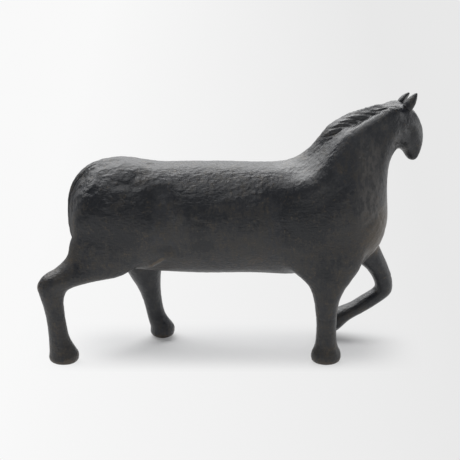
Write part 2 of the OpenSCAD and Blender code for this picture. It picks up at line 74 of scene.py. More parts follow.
def smoothstep(low, high, value):
    share = np.clip((value - low) / (high - low), 0, 1)
    return share * share * (3 - 2 * share)


def ear_axis(name):
    """End of the stud under an ear, and the way from there to the ear's tip."""
    points = np.array([v.co for v in nodes[name].data.vertices]) / MM
    way = points[points[:, 2].argmax()] - points[points[:, 2].argmin()]
    for _ in range(3):
        way = way / np.linalg.norm(way)
        along = points @ way
        foot = points[along < along.min() + 0.05].mean(0)
        way = points[along > along.max() - 0.05].mean(0) - foot
    return foot, way / np.linalg.norm(way)


def cut_edges(made):
    """Edges that a cut through a mesh has left."""
    return [e for e in made["geom_cut"] if isinstance(e, bmesh.types.BMEdge)]


def add_ear_stud(shell, name):
    """Adds only what an ear has below its seat, so that the seat isn't left with a hole."""
    foot, way = ear_axis(name)
    ear = bmesh.new()
    ear.from_mesh(nodes[name].data)
    bmesh.ops.remove_doubles(ear, verts=ear.verts, dist=1e-7)
    made = bmesh.ops.bisect_plane(
        ear, geom=ear.verts[:] + ear.edges[:] + ear.faces[:],
        plane_co=Vector((foot + way * STUD_LENGTH) * MM), plane_no=Vector(way), clear_outer=True)
    bmesh.ops.holes_fill(ear, edges=cut_edges(made), sides=0)
    stud = bpy.data.meshes.new("ear_stud")
    ear.to_mesh(stud)
    ear.free()
    shell.from_mesh(stud)
    bpy.data.meshes.remove(stud)


def smooth_line(path, step=0.7):
    """Points close together on a smooth curve through places."""
    path = np.array(path, float)
    padded = np.vstack([2 * path[0] - path[1], path, 2 * path[-1] - path[-2]])
    line = []
    for a, b, c, d in zip(padded, padded[1:], padded[2:], padded[3:]):
        for t in np.arange(0, 1, step / max(np.linalg.norm(c - b), step)):
            line.append(b + (t * (c - a) + t * t * (2 * a - 5 * b + 4 * c - d)
                             + t ** 3 * (3 * b - a - 3 * c + d)) / 2)
    line.append(path[-1])
    return np.array(line)


def facing(points, faces):
    """The way straight out of the skin at each point."""
    a, b, c, d = (points[faces[:, k]] for k in range(4))
    square = np.cross(c - a, d - b)
    total = np.zeros_like(points)
    for k in range(4):
        for axis in range(3):
            total[:, axis] += np.bincount(faces[:, k], square[:, axis], len(points))
    return total / np.maximum(np.linalg.norm(total, axis=1), 1e-12)[:, None]


class Wax:
    """The skin of a form as points in millimetres, which are relaxed and pushed about."""

    FAR = 1e3
    PULL = 0.5
    HOLD = 0.53
    FACING_ROUNDS = 12
    PAT_DRIFT = 0.35
    PAT_SHARPNESS = 7
    SCATTER = np.array([[127.1, 269.5, 419.2], [311.7, 183.3, 371.9], [74.7, 246.1, 168.2]])
    SCATTER_SCALE = 17.31

    def __init__(self, shell, grain):
        raw = bpy.data.meshes.new("raw")
        shell.to_mesh(raw)
        shell.free()
        lump = bpy.data.objects.new("lump", raw)
        bpy.context.scene.collection.objects.link(lump)
        melt = lump.modifiers.new("melt", "REMESH")
        melt.mode = "VOXEL"
        melt.voxel_size = grain * MM
        melted = lump.evaluated_get(bpy.context.evaluated_depsgraph_get()).data
        self.points = np.zeros(len(melted.vertices) * 3)
        melted.vertices.foreach_get("co", self.points)
        self.points = self.points.reshape(-1, 3) / MM
        self.faces = np.zeros(len(melted.loops), int)
        melted.loops.foreach_get("vertex_index", self.faces)
        self.faces = self.faces.reshape(-1, 4)
        ends = np.zeros(len(melted.edges) * 2, int)
        melted.edges.foreach_get("vertices", ends)
        self.first, self.second = ends.reshape(-1, 2).T
        bpy.data.objects.remove(lump)
        bpy.data.meshes.remove(raw)
        self.keep_outside()
        self.degree = self.gather(np.ones((self.count, 1)))

    def keep_outside(self):
        """Drops the shells round cavities, which lie inside the outer one."""
        label = np.arange(len(self.points))
        while True:
            low = np.minimum(label[self.first], label[self.second])
            spread = label.copy()
            np.minimum.at(spread, self.first, low)
            np.minimum.at(spread, self.second, low)
            spread = spread[spread]
            if (spread == label).all():
                break
            label = spread
        kept = label == label[self.points[:, 0].argmax()]
        number = np.cumsum(kept) - 1
        self.points = self.points[kept]
        self.faces = number[self.faces[kept[self.faces[:, 0]]]]
        joined = kept[self.first]
        self.first, self.second = number[self.first[joined]], number[self.second[joined]]
        self.count = len(self.points)

    def gather(self, values):
        """Sum over each point's neighbours."""
        total = np.zeros_like(values)
        for k in range(values.shape[1]):
            total[:, k] = np.bincount(self.first, values[self.second, k], self.count)
            total[:, k] += np.bincount(self.second, values[self.first, k], self.count)
        return total

    def mean(self, values):
        return self.gather(values) / self.degree

    def normals(self):
        return facing(self.points, self.faces)

    def rise(self, rounds=6):
        """How far each point stands out of the skin about it."""
        level = self.points
        for _ in range(rounds):
            level = self.mean(level)
        return ((self.points - level) * self.normals()).sum(1)

    def relax(self, rounds):
        """Evens the skin out. The form keeps its fullness, because HOLD is above PULL."""
        for _ in range(rounds):
            self.points += self.PULL * (self.mean(self.points) - self.points)
            self.points -= self.HOLD * (self.mean(self.points) - self.points)

    def rub(self, rounds, grip, fill=False):
        """Smooths places till their edges are gone, or with fill only brings their hollows out."""
        inside = grip > 0.01
        joined = inside[self.first] | inside[self.second]
        ends = np.concatenate([self.first[joined], self.second[joined]])
        used, ends = np.unique(ends, return_inverse=True)
        first, second = ends.reshape(2, -1)
        count = len(used)
        degree = np.bincount(ends, minlength=count)[:, None]
        number = np.full(self.count, -1)
        number[used] = np.arange(count)
        faces = number[self.faces]
        faces = faces[(faces >= 0).all(1)]
        points = self.points[used]
        pull = self.PULL * grip[used][:, None]
        for turn in range(rounds):
            total = [np.bincount(first, points[second, k], count)
                     + np.bincount(second, points[first, k], count) for k in range(3)]
            move = np.stack(total, 1) / degree - points
            if fill:
                if turn % self.FACING_ROUNDS == 0:
                    out = facing(points, faces)
                move -= out * np.minimum((move * out).sum(1), 0)[:, None]
            points += pull * move
        self.points[used] = points

    def push(self, amount):
        """Moves each point straight out of the skin, or with an amount below 0 into it."""
        self.points += self.normals() * amount[:, None]

    def near(self, place, reach):
        """1 at a place, falling off over the reach along each axis."""
        apart = (self.points - place) / reach
        return np.exp(-(apart ** 2).sum(1))

    def beside(self, name, width, within):
        """1 at the surface of a piece, falling off over the width, and 0 well away from its box."""
        low, high = (np.array(corner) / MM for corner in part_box(name))
        inside = ((self.points > low - within) & (self.points < high + within)).all(1)
        apart = np.full(self.count, self.FAR)
        for i in np.flatnonzero(inside):
            place = Vector(self.points[i] * MM)
            apart[i] = (nodes[name].closest_point_on_mesh(place)[1] - place).length / MM
        return np.exp(-(apart / width) ** 2)

    def along(self, path, within=30):
        """Distance of each point from a smooth line through places, and the share along it."""
        line = smooth_line(path)
        tree = kdtree.KDTree(len(line))
        for k, place in enumerate(line):
            tree.insert(place, k)
        tree.balance()
        low, high = line.min(0) - within, line.max(0) + within
        apart = np.full(self.count, self.FAR)
        share = np.zeros(self.count)
        inside = ((self.points > low) & (self.points < high)).all(1)
        for i in np.flatnonzero(inside):
            _, k, apart[i] = tree.find(self.points[i])
            share[i] = k / (len(line) - 1)
        return apart, share

    def stroke(self, path, width, height, fade=0.15):
        """A ridge, or with a height below 0 a groove, along a line, fading at both ends."""
        apart, share = self.along(path)
        ends = smoothstep(0, fade, share) * smoothstep(0, fade, 1 - share)
        self.push(height * np.exp(-(apart / width) ** 2) * ends)

    def noise(self, size, offset=0.0):
        """Soft random values from about -1 to 1, in lumps of the given size."""
        shift = Vector((offset, offset, offset))
        return np.array([noise.noise(Vector(p) + shift) for p in self.points / size])

    def pats(self, size, offset):
        """Random tilts of the small flat places that a thumb or a scraper leaves."""
        spots = self.points / size + offset
        drift = np.stack([self.noise(np.mean(size) * 1.5, offset + k) for k in (3, 7, 11)], 1)
        spots = spots + self.PAT_DRIFT * drift
        found = [noise.voronoi(Vector(p)) for p in spots]
        apart = np.array([f[0] for f in found])
        share = np.exp(-self.PAT_SHARPNESS * (apart - apart[:, :1]))
        share = share / share.sum(1)[:, None]
        total = np.zeros(self.count)
        for k in range(apart.shape[1]):
            middles = np.array([f[1][k] for f in found])
            tilts = np.sin(middles @ self.SCATTER * self.SCATTER_SCALE)
            total += share[:, k] * ((spots - middles) * tilts).sum(1)
        return total


shell = bmesh.new()
for name in CASTINGS + FILLINGS:
    shell.from_mesh(nodes[name].data)
for name in EARS:
    add_ear_stud(shell, name)
for place in TAIL_STUDS:
    bmesh.ops.create_icosphere(shell, subdivisions=2, radius=STUD_STOP_RADIUS * MM,
                               matrix=Matrix.Translation(Vector(place) * MM))
horse = Wax(shell, GRAIN)
for name in FILLINGS:
    horse.rub(150, horse.beside(name, 4, 8), fill=True)
horse.relax(50)

# Where the limbs rise from the trunk, wax is pressed in till the forms flow together
ROOTS = [((72, -32, 90), (40, 20, 26)), ((-94, -32, 98), (40, 20, 28)),
         ((-76, 32, 90), (40, 20, 26)), ((98, 25, 84), (32, 18, 26))]
hollows = np.zeros(horse.count)
for place, reach in ROOTS:
    hollows = np.maximum(hollows, smoothstep(0.2, 0.6, horse.near(place, reach)))
horse.rub(300, hollows, fill=True)
horse.rub(30, hollows)
x, _, z = horse.points.T
trunk = smoothstep(70, 85, z) * (1 - smoothstep(45, 75, x)) * smoothstep(-118, -100, x)
horse.rub(80, trunk)

# Small amounts of wax put on, or below 0 taken off: the place, its reach and the height
TOUCHES = [
    ((124, 0, 110), (8, 25, 24), 1.3),      # breast
    ((52, 0, 163), (13, 18, 10), 1.7),      # withers
    ((-18, 0, 157), (24, 24, 10), 1.3),     # back
    ((-89, 0, 158), (16, 22, 10), 1.5),     # croup
    ((-127, 0, 99), (8, 25, 12), 0.8),      # buttocks
    ((-140, -28, 80), (10, 12, 7), 0.9),    # above the right hock
    ((-66, 32, 54), (20, 14, 16), 1.6),     # left hind leg
    ((103, -12, 75), (9, 14, 7), 2.5),      # chest between the fore legs
    ((46, -15, 70), (20, 20, 8), 1.8),      # girth
    ((127, 25, 61), (8, 12, 12), 1.0),      # above the left knee
    ((111, 25, 46), (8, 10, 8), 1.5),       # behind the left knee
    ((122, 25, 36), (9, 10, 7), -0.9),      # below the left knee
    ((129, 5, 160), (6, 20, 8), -1.4),      # throat
    ((136, 6, 171), (6, 16, 6), 2.4),       # jaw
    ((-120, -31, 115), (9, 8, 24), 2.2),    # right corner of the rump
    ((126, -6, 200), (9, 5, 5), 1.0),       # right of the poll
    ((128, 7, 207), (8, 10, 6), -3.4),      # poll
    ((-62, 32, 20), (6, 9, 13), 1.8),       # foot of the left hind leg
    ((-12, -16, 74), (34, 18, 8), 0.9),     # belly
]
for place, reach, height in TOUCHES:
    horse.push(height * horse.near(place, reach))

# Grooves where trunk, thighs and shoulders meet, and the folds of skin at flank and elbow:
# the line, its width, its height and the share of it that fades at either end
GROOVES = [
    ([(-56, -24, 149), (-51, -36, 129), (-47, -38.5, 111), (-50, -34, 90)], 9.5, -3.4, 0.15),
    ([(-69, -22, 79.5), (-61, -28.5, 86), (-55.5, -32, 90), (-48, -36, 96)], 2.2, -0.2, 0.4),
    ([(-67, -19, 75), (-60.5, -27.5, 82.2), (-55.6, -30.5, 85.8), (-49, -33.5, 91.5)], 2.0, 1.8, 0.4),
    ([(37, -22, 149), (40, -35, 128), (42, -38, 112), (44, -36, 97)], 9.5, -3.2, 0.35),
    ([(36, -37, 100), (46, -36, 96), (55, -34, 92), (66, -34, 88)], 3.6, -0.25, 0.15),
    ([(-50, 24, 149), (-46, 36, 129), (-43, 38.5, 111), (-46, 33, 90)], 9, -2.2, 0.15),
    ([(-58, 20, 76), (-50, 27, 83), (-42, 32, 89), (-35, 35, 94)], 2.6, -1.8, 0.15),
    ([(50, 22, 149), (53, 35, 128), (56, 38, 112), (60, 34, 93)], 10, -2.2, 0.15),
]
for path, width, height, fade in GROOVES:
    horse.stroke(path, width, height, fade)

# The fold where the chest swells below the neck
CHEST_FOLD = [(125, 3, 127), (121, 19, 125), (116, 27, 123), (107, 32, 115), (98, 35, 106)]
for side in SIDES:
    horse.stroke([(x, side * y, z) for x, y, z in CHEST_FOLD], 3.4, -0.8, fade=0.35)

# The crest of the neck is built up towards the withers. The hogged mane stands on it, with locks that
# lie back, a groove at its foot and a ridge below that runs down into the withers.
CREST_PLACES = range(36, 142, 4)
LOCK_SPACING = 9
LOCK_SWEEP = 2.2
LOCK_DEPTH = 1.1
RIDGE_HEIGHT, UPPER_RIDGE_HEIGHT = 4.6, 3.1
RIDGE_WIDTH, UPPER_RIDGE_WIDTH = 11, 7.7
RIDGE = [(40, -28.5, 142), (51, -28.5, 143), (61.5, -28.5, 146), (71.5, -27.5, 152), (79.5, -23.5, 164.5),
         (88.2, -18.5, 178), (95.6, -16.6, 185.2), (103, -14.8, 189.8), (110.4, -11.8, 193.6),
         (117.8, -9.2, 196.6), (125.3, -4.9, 199.3), (131, -1, 201.3), (135.5, 0.5, 203.5)]
crest = []
for place in CREST_PLACES:
    band = np.flatnonzero(abs(horse.points[:, 0] - place) < 1.2)
    crest.append(horse.points[band[horse.points[band, 2].argmax()]])
crest = np.array(crest)
horse.stroke(crest[:15], 6, 1.8, fade=0.3)
mane = crest[6:]
mane_length = np.linalg.norm(np.diff(mane, axis=0), axis=1).sum()
ridge_places = [p[0] for p in RIDGE]
above = np.stack([np.interp(ridge_places, crest[:, 0], crest[:, k]) for k in range(3)], 1)
ridge = np.zeros(horse.count)
for side in SIDES:
    line = np.array([(x, m - side * (y - m), z) for (x, y, z), m in zip(RIDGE, above[:, 1])])
    horse.stroke((0.55 * line + 0.45 * above)[5:-1], 4.5, -1.8, fade=0.25)
    apart, share = horse.along(line)
    upper = smoothstep(0.2, 0.6, share)
    height = RIDGE_HEIGHT + (UPPER_RIDGE_HEIGHT - RIDGE_HEIGHT) * upper
    width = RIDGE_WIDTH + (UPPER_RIDGE_WIDTH - RIDGE_WIDTH) * upper
    ends = smoothstep(0, 0.2, share) * smoothstep(0, 0.07, 1 - share)
    ridge += height * np.exp(-(apart / width) ** 2) * ends
apart, share = horse.along(mane)
ends = smoothstep(0.12, 0.3, share) * smoothstep(0.06, 0.25, 1 - share)
foot = 1.5 * np.exp(-((apart - 5.5) / 2.6) ** 2)
phase = (share * mane_length - LOCK_SWEEP * apart) / LOCK_SPACING + 0.5 * horse.noise(11)
notch = np.abs(phase - np.round(phase))
hanging = smoothstep(2.5, 5, apart) * (1 - smoothstep(9, 13, apart))
locks = -LOCK_DEPTH * np.exp(-(notch / 0.15) ** 2) * hanging
horse.push(ends * (foot + locks) + ridge)
for side in SIDES:
    horse.rub(25, 0.7 * horse.near((56, side * 30, 147), (26, 10, 9)))

# Wax is drawn up to the edges of the tail and the feet of the ears, and a line scored beside the tail
TAIL_LINE = [(-101, 8, 157.5), (-105.6, 8.9, 156), (-111, 9.7, 152), (-117.5, 9.4, 146),
             (-121.6, 10.5, 138), (-123.6, 13.5, 131), (-123.6, 17.5, 125), (-122.5, 21, 118)]
horse.push(1.2 * horse.beside("tail", 5, 12))
for side in SIDES:
    horse.stroke([(x, side * y, z) for x, y, z in TAIL_LINE], 1.5, -0.6)
for name in EARS:
    horse.push(0.9 * horse.beside(name, 2.4, 7))


def joint(parent, child):
    """Middle of the face where two castings meet, and the way from the first to the second."""
    tree = kdtree.KDTree(len(nodes[parent].data.vertices))
    for v in nodes[parent].data.vertices:
        tree.insert(v.co, v.index)
    tree.balance()
    shared = np.array([v.co for v in nodes[child].data.vertices if tree.find(v.co)[2] < 2e-6])
    middle = shared.mean(0)
    way = np.linalg.svd(shared - middle)[2][2]
    low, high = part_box(child)
    if way @ (np.array(low + high) / 2 - middle) < 0:
        way = -way
    return middle, way


# Head: hollows of the eyes under the brows, and the crease between jaw and throat. Its places are
# given by their distance ahead of the head's joint and to the side, and by their height.
JAW = [(-6, 20, 176), (-3.5, 18, 175.8), (1, 13.5, 175.6), (4.5, 11, 175),
       (8.4, 9.4, 172.5), (11.5, 6.5, 168.5), (14, 4.5, 164.5)]
JAW_PITS = [(0, 15, 176.5), (6.5, 11, 176.5), (9.5, 9.5, 174)]
poll, forwards = joint("neck_casting", "head_casting")


def head_place(ahead, aside, height):
    return np.array([poll[0] / MM + ahead * forwards[0] - aside * forwards[1],
                     poll[1] / MM + ahead * forwards[1] + aside * forwards[0], height])


for side in SIDES:
    horse.rub(15, 0.8 * horse.near(head_place(5, side * 14, 193), (8, 7, 9)))
    horse.push(-1.2 * horse.near(head_place(13.5, side * 12, 182), (2.8, 5, 4.4)))
    horse.push(0.3 * horse.near(head_place(10, side * 13.5, 190), (5, 5, 4)))
    horse.push(-0.9 * horse.near(head_place(10, side * 13, 186.5), (1.7, 4, 1.7)))
    horse.stroke([head_place(ahead, side * aside, up) for ahead, aside, up in JAW], 1.5, -1.9, fade=0.4)
    for ahead, aside, up in JAW_PITS:
        horse.push(-1.1 * horse.near(head_place(ahead, side * aside, up), (1.5, 4, 1.4)))

# Marks of thumb and scraper: deepest on the croup, less on the back and faint elsewhere. The skin of
# the back and neck is left a little uneven.
THUMB = np.array([14.0, 9.0, 9.0])
SCRAPER = np.array([6.0, 4.2, 4.2])
x, _, z = horse.points.T
upper = smoothstep(112, 142, z) * (1 - smoothstep(25, 60, x))
croup = smoothstep(118, 138, z) * (1 - smoothstep(-75, -45, x))
horse.push((0.12 + 0.14 * upper + 0.75 * croup) * horse.pats(THUMB, 4.3))
horse.push((0.05 + 0.05 * upper + 0.05 * croup) * horse.pats(SCRAPER, 9.1))
crown = smoothstep(112, 142, z) * (1 - 0.6 * smoothstep(20, 50, x)) * (1 - smoothstep(118, 136, x))
crown = crown * (1 - 0.7 * smoothstep(0.82, 0.97, horse.normals()[:, 2]))
horse.push((0.08 + 0.1 * crown) * horse.noise(3.2, 5.0))
horse.push((0.08 + 0.18 * crown) * horse.noise(2.1, 2.0))

# The plugs of the core holes and the ends of the neck's pins are chased over
for name in ("core_plugs", "neck_joint_pins"):
    horse.push(0.35 * horse.beside(name, 3, 8))

# Where the castings meet, a hairline of the seam is left in places
SEAM_DEPTH = 0.28
SEAM_WIDTH = 0.9
JOINTS = [("trunk_casting", "neck_casting", 80), ("neck_casting", "head_casting", 30)]
JOINTS += [("trunk_casting", leg, 20) for leg in LEGS]
seams = []
for parent, child, reach in JOINTS:
    middle, way = joint(parent, child)
    seams.append((middle, way, reach))
    from_middle = horse.points - middle / MM
    close = (np.linalg.norm(from_middle, axis=1) < reach).astype(float)
    line = np.exp(-((from_middle @ way) / SEAM_WIDTH) ** 2)
    horse.push(-SEAM_DEPTH * close * line * smoothstep(-0.1, 0.35, horse.noise(14, 8.0)))

# The finished figure is kept inside the box round the solids
SKIN_MARGIN = 0.05
lowest, highest = (np.array(corner) / MM for corner in cad_box)
horse.points = np.clip(horse.points, lowest + [SKIN_MARGIN, SKIN_MARGIN, 0], highest - SKIN_MARGIN)

# The trunk casting
# The hollow barrel with the four upper limbs on it, cast in bronze. It is patinated nearly black and
# waxed, and brown metal shows through where it has been rubbed.
skin = bmesh.new()
mesh = bpy.data.meshes.new("skin")
mesh.from_pydata((horse.points * MM).tolist(), [], horse.faces.tolist())
skin.from_mesh(mesh)
bpy.data.meshes.remove(mesh)
rise_layer = skin.verts.layers.float.new("rise")
for v, value in zip(skin.verts, horse.rise()):
    v[rise_layer] = value


def part_skin(middle, way, reach):
    """Parts the skin along a plane, within reach of its middle."""
    faces = [f for f in skin.faces if (f.calc_center_median() - Vector(middle)).length < reach * MM]
    edges = dict.fromkeys(e for f in faces for e in f.edges)
    verts = dict.fromkeys(v for f in faces for v in f.verts)
    made = bmesh.ops.bisect_plane(skin, geom=[*verts, *edges, *faces], plane_co=Vector(middle),
                                  plane_no=Vector(way), dist=1e-6)
    bmesh.ops.split_edges(skin, edges=cut_edges(made))


for middle, way, reach in seams:
    part_skin(middle, way, reach)


def whole(start):
    """Faces of the section that one face belongs to."""
    found = {start: None}
    edge = [start]
    while edge:
        for e in edge.pop().edges:
            for face in e.link_faces:
                if face not in found:
                    found[face] = None
                    edge.append(face)
    return list(found)


def stand_for(name, mesh, material):
    """Puts a mesh in the place of a node."""
    mesh.materials.append(material)
    cast = bpy.data.objects.new(name + "_bronze", mesh)
    bpy.context.scene.collection.objects.link(cast)
    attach(cast, "root")
    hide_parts(name)


def casting(name, start, material):
    """The section at a place on the skin, as a closed mesh that stands for the casting's node."""
    nearest = min(skin.faces, key=lambda f: (f.calc_center_median() - Vector(start) * MM).length)
    made = bmesh.new()
    made_layer = made.verts.layers.float.new("rise")
    corners = {}
    for face in whole(nearest):
        for v in face.verts:
            if v not in corners:
                corners[v] = made.verts.new(v.co)
                corners[v][made_layer] = v[rise_layer]
        made.faces.new([corners[v] for v in face.verts]).smooth = True
    rim = [e for e in made.edges if e.is_boundary]
    for e in rim:
        e.smooth = False
    bmesh.ops.holes_fill(made, edges=rim, sides=0)
    mesh = bpy.data.meshes.new(name)
    made.to_mesh(mesh)
    made.free()
    stand_for(name, mesh, material)


class Tone:
    """A socket of a material's nodes, which can be used in sums."""

    def __init__(self, tree, socket=None):
        self.tree = tree
        self.socket = socket

    def node(self, kind, settings=None, inputs=None, output=0):
        """Adds a node: its settings first, then the values or links of its sockets."""
        made = self.tree.nodes.new("ShaderNode" + kind)
        for name, value in (settings or {}).items():
            setattr(made, name, value)
        for name, value in (inputs or {}).items():
            if isinstance(value, Tone):
                self.tree.links.new(value.socket, made.inputs[name])
            else:
                made.inputs[name].default_value = value
        return Tone(self.tree, made.outputs[output] if made.outputs else None)

    def sum(self, operation, first, second):
        return self.node("Math", {"operation": operation}, {0: first, 1: second})

    def __add__(self, other):
        return self.sum("ADD", self, other)

    __radd__ = __add__

    def __sub__(self, other):
        return self.sum("SUBTRACT", self, other)

    def __rsub__(self, other):
        return self.sum("SUBTRACT", other, self)

    def __mul__(self, other):
        return self.sum("MULTIPLY", self, other)

    __rmul__ = __mul__

    def __abs__(self):
        return self.node("Math", {"operation": "ABSOLUTE"}, {0: self})

    def between(self, low, high):
        """0 below the low value, 1 above the high one, and smooth between them."""
        return self.node("MapRange", {"interpolation_type": "SMOOTHSTEP"},
                         {"Value": self, "From Min": low, "From Max": high})

    def mix(self, share, first, second):
        return self.node("Mix", {"data_type": "RGBA"}, {0: share, 6: first, 7: second}, output=2)

    def vector(self, operation, other):
        return self.node("VectorMath", {"operation": operation}, {0: self, 1: other})

    def place(self):
        """The place on the figure, in millimetres."""
        return self.node("TexCoord", output="Object").vector("MULTIPLY", (1 / MM,) * 3)

    def axis(self, name):
        return self.node("SeparateXYZ", {}, {"Vector": self}, output=name)

    def spot(self, middle, reach):
        """1 about a place, falling to 0 at the reach along each axis."""
        apart = self.vector("SUBTRACT", middle).vector("DIVIDE", reach)
        apart = self.node("VectorMath", {"operation": "LENGTH"}, {0: apart}, output="Value")
        return 1 - apart.between(0.4, 1)

    def stretched(self, shares):
        """A place with each axis drawn out, the more the smaller its share."""
        return self.vector("MULTIPLY", shares)

    def noise(self, size, detail, rough):
        """Noise in lumps of a size in millimetres."""
        return self.node("TexNoise", {}, {"Vector": self, "Scale": 1 / size, "Detail": detail,
                                          "Roughness": rough})


def new_material(name):
    material = bpy.data.materials.new(name)
    material.use_nodes = True
    material.node_tree.nodes.clear()
    return material, Tone(material.node_tree)


def finish_material(tones, **sockets):
    surface = tones.node("BsdfPrincipled", {}, sockets)
    tones.node("OutputMaterial", {}, {"Surface": surface})


BLACK = (0.0085, 0.0098, 0.0130, 1)
SOOT = (0.0245, 0.0262, 0.0305, 1)
UMBER = (0.039, 0.034, 0.028, 1)
BRONZE = (0.105, 0.085, 0.064, 1)
# A paler grey painted on the front of the neck and chest, as light from the right
PAINTED_FRONT_LIGHT = (0.1, 0.094, 0.088, 1)
DIRT = (0.004, 0.004, 0.0045, 1)
# Places painted darker as shade, on the thighs, shoulders, head and back of the rump, and one real smudge
# low on the barrel; places painted paler as light; and where wax is polished: the place, its reach along the
# axes and, for the paler places, a share
PAINTED_SHADE_AND_SMUDGE = [
    ((-89, 0, 123), (38, 200, 34)),       # thighs
    ((58, 0, 126), (34, 200, 36)),        # shoulders
    ((-21, -36, 100), (14, 30, 7)),       # smudge low on the barrel
    ((138, 0, 188), (16, 30, 20)),        # head
    ((-122, 0, 117), (14, 30, 40)),       # back of the rump
]
PAINTED_LIGHT_PLACES = [
    ((-52, 0, 115), (12, 200, 45), 1),    # flanks
    ((36, 0, 115), (11, 200, 40), 1),     # behind the shoulders
    ((100, 0, 163), (30, 200, 35), 0.7),  # neck
]
POLISHED = [
    ((62, 0, 152), (36, 60, 22)),         # withers
    ((105, 0, 190), (35, 50, 22)),        # crest
]
NECK_SLANT = 0.75


def patina_material():
    material, tones = new_material("patinated_bronze")
    place = tones.place()
    across = place.axis("X")
    high = place.axis("Z")
    low = 1 - high.between(85, 150)
    # The far side low down is painted darker and less worn, as the shade of the body
    far_shade = place.axis("Y").between(5, 20) * low

    # Handling takes the patina off raised places, and hollows keep their dirt
    rise = tones.node("Attribute", {"attribute_name": "rise"}, output="Fac")
    rubbed = rise.between(0.14, 0.5) * (1 - high.between(120, 145))
    sunk = (rise * -1).between(0.14, 0.4)
    # At the flank fold the bronze shows bare and warm, partly wear on its edge and partly a painted
    # highlight
    fold = place.spot((-57.5, -29.5, 84.5), (13, 9, 10)) * rise.between(0.02, 0.16)
    # The breast is worn browner, partly real wear and partly painted light on the front of the chest
    breast = across.between(100, 122) * low * high.between(72, 88)
    # Painted light: the front of the neck and chest is made a paler grey, as lit from the right
    front = across.between(95, 108) * (1 - across.between(112, 123))
    front = front * high.between(100, 130) * (1 - high.between(170, 190))
    dusty = place.spot((-128, 0, 115), (16, 100, 50))
    # Painted shade on the darker places, with one real smudge, and painted light on the paler ones
    shade_and_smudge = sum(place.spot(middle, reach) for middle, reach in PAINTED_SHADE_AND_SMUDGE)
    pale = sum(place.spot(middle, reach) * share for middle, reach, share in PAINTED_LIGHT_PLACES)
    polish = sum(place.spot(middle, reach) for middle, reach in POLISHED)

    # The patina was brushed on hot, in clouds, spots and streaks that run down. Mixed into them are the
    # painted shade and light of the listed places and the far side, the breast, and the painted highlight of
    # the flank fold, and all is paler and browner lower down
    clouds = place.noise(30, 3.0, 0.6)
    spots = place.noise(9, 4.0, 0.65)
    streaks = place.stretched((1, 1, 0.3)).noise(2.8, 3.0, 0.65)
    specks = place.noise(2.2, 3.0, 0.65)
    thin_patina_and_painted_light = clouds * 0.45 + spots * 0.35 + streaks * 0.2 + pale * 0.1 + low * 0.04
    thin_patina_and_painted_light = (thin_patina_and_painted_light - far_shade * 0.05 - shade_and_smudge * 0.12).between(0.43, 0.58)
    wear_and_painted_light = clouds * 0.3 + spots * 0.3 + streaks * 0.4 + low * 0.045 + breast * 0.3
    wear_and_painted_light = (wear_and_painted_light - shade_and_smudge * 0.06 - far_shade * 0.08 + rubbed * 0.14).between(0.472, 0.602)
    bare_metal_and_painted_light = spots * 0.4 + specks * 0.6 + low * 0.025 + breast * 0.4
    bare_metal_and_painted_light = (bare_metal_and_painted_light + rubbed * 0.3 + fold * 0.3 - far_shade * 0.06).between(0.55, 0.67)
    warm_metal_and_painted_light = bare_metal_and_painted_light * 0.55 + breast * streaks.between(0.42, 0.6) * 0.35 + fold * 0.4
    colour = tones.mix(thin_patina_and_painted_light, BLACK, SOOT)
    colour = tones.mix(wear_and_painted_light * 0.7, colour, UMBER)
    colour = tones.mix(warm_metal_and_painted_light, colour, BRONZE)
    # The painted light on the front of the neck and chest
    colour = tones.mix(front * (0.3 + streaks.between(0.4, 0.6) * 0.5), colour, PAINTED_FRONT_LIGHT)
    colour = tones.mix(sunk * 0.7, colour, DIRT)

    # Fine marks of the brush lie level on the trunk and along the neck
    slanted = tones.node("VectorRotate", {"rotation_type": "Y_AXIS"}, {"Vector": place, "Angle": NECK_SLANT})
    neck = across.between(35, 65) * high.between(120, 150)
    level = place.stretched((0.4, 1, 1)).noise(1.7, 3.0, 0.65)
    combed = slanted.stretched((0.35, 1, 1)).noise(1.7, 3.0, 0.65)
    grain = specks * 0.4 + level * (1 - neck) * 0.6 + combed * neck * 0.6
    bump = tones.node("Bump", {}, {"Strength": 1.0, "Distance": 0.7 * MM, "Height": grain}, output="Normal")
    rough = 0.28 + spots * 0.1 + wear_and_painted_light * 0.06 - bare_metal_and_painted_light * 0.06 + sunk * 0.3 + dusty * 0.4
    finish_material(tones, **{"Base Color": colour, "Roughness": rough, "Metallic": bare_metal_and_painted_light * 0.35,
                              "Coat Weight": polish * 0.42, "Coat Roughness": 0.3, "Normal": bump})
    return material


patina = patina_material()
casting("trunk_casting", (0, 0, 157), patina)

# The neck casting
# The hollow neck with the upper part of the mane, sleeved into the trunk, pinned and brazed.
casting("neck_casting", (112, -25, 165), patina)

# The head casting
# The small solid head, cast by itself and set on the neck with a dowel and brazing metal.
casting("head_casting", (150, 8, 170), patina)

# The lower legs
# Four solid castings from cannon to hoof, each with a tenon brazed and pinned into the limb above it.
for leg in LEGS:
    low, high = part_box(leg)
    casting(leg, ((low.x + high.x) / 2 / MM, (low.y + high.y) / 2 / MM, low.z / MM), patina)
skin.free()

# The ears
# Two small solid leaves, each cast with a stud that is brazed into a seat in the poll.
EAR_GRAIN = 0.35
EAR_FULLNESS = 0.9


def lone_wax(name, grain):
    shell = bmesh.new()
    shell.from_mesh(nodes[name].data)
    return Wax(shell, grain)


def lone_casting(name, wax, material):
    """A piece that was modelled by itself, as a closed mesh in the place of its node."""
    wax.points = np.clip(wax.points, lowest + SKIN_MARGIN, highest - SKIN_MARGIN)
    mesh = bpy.data.meshes.new(name)
    mesh.from_pydata((wax.points * MM).tolist(), [], wax.faces.tolist())
    mesh.shade_smooth()
    mesh.attributes.new("rise", "FLOAT", "POINT").data.foreach_set("value", wax.rise())
    stand_for(name, mesh, material)


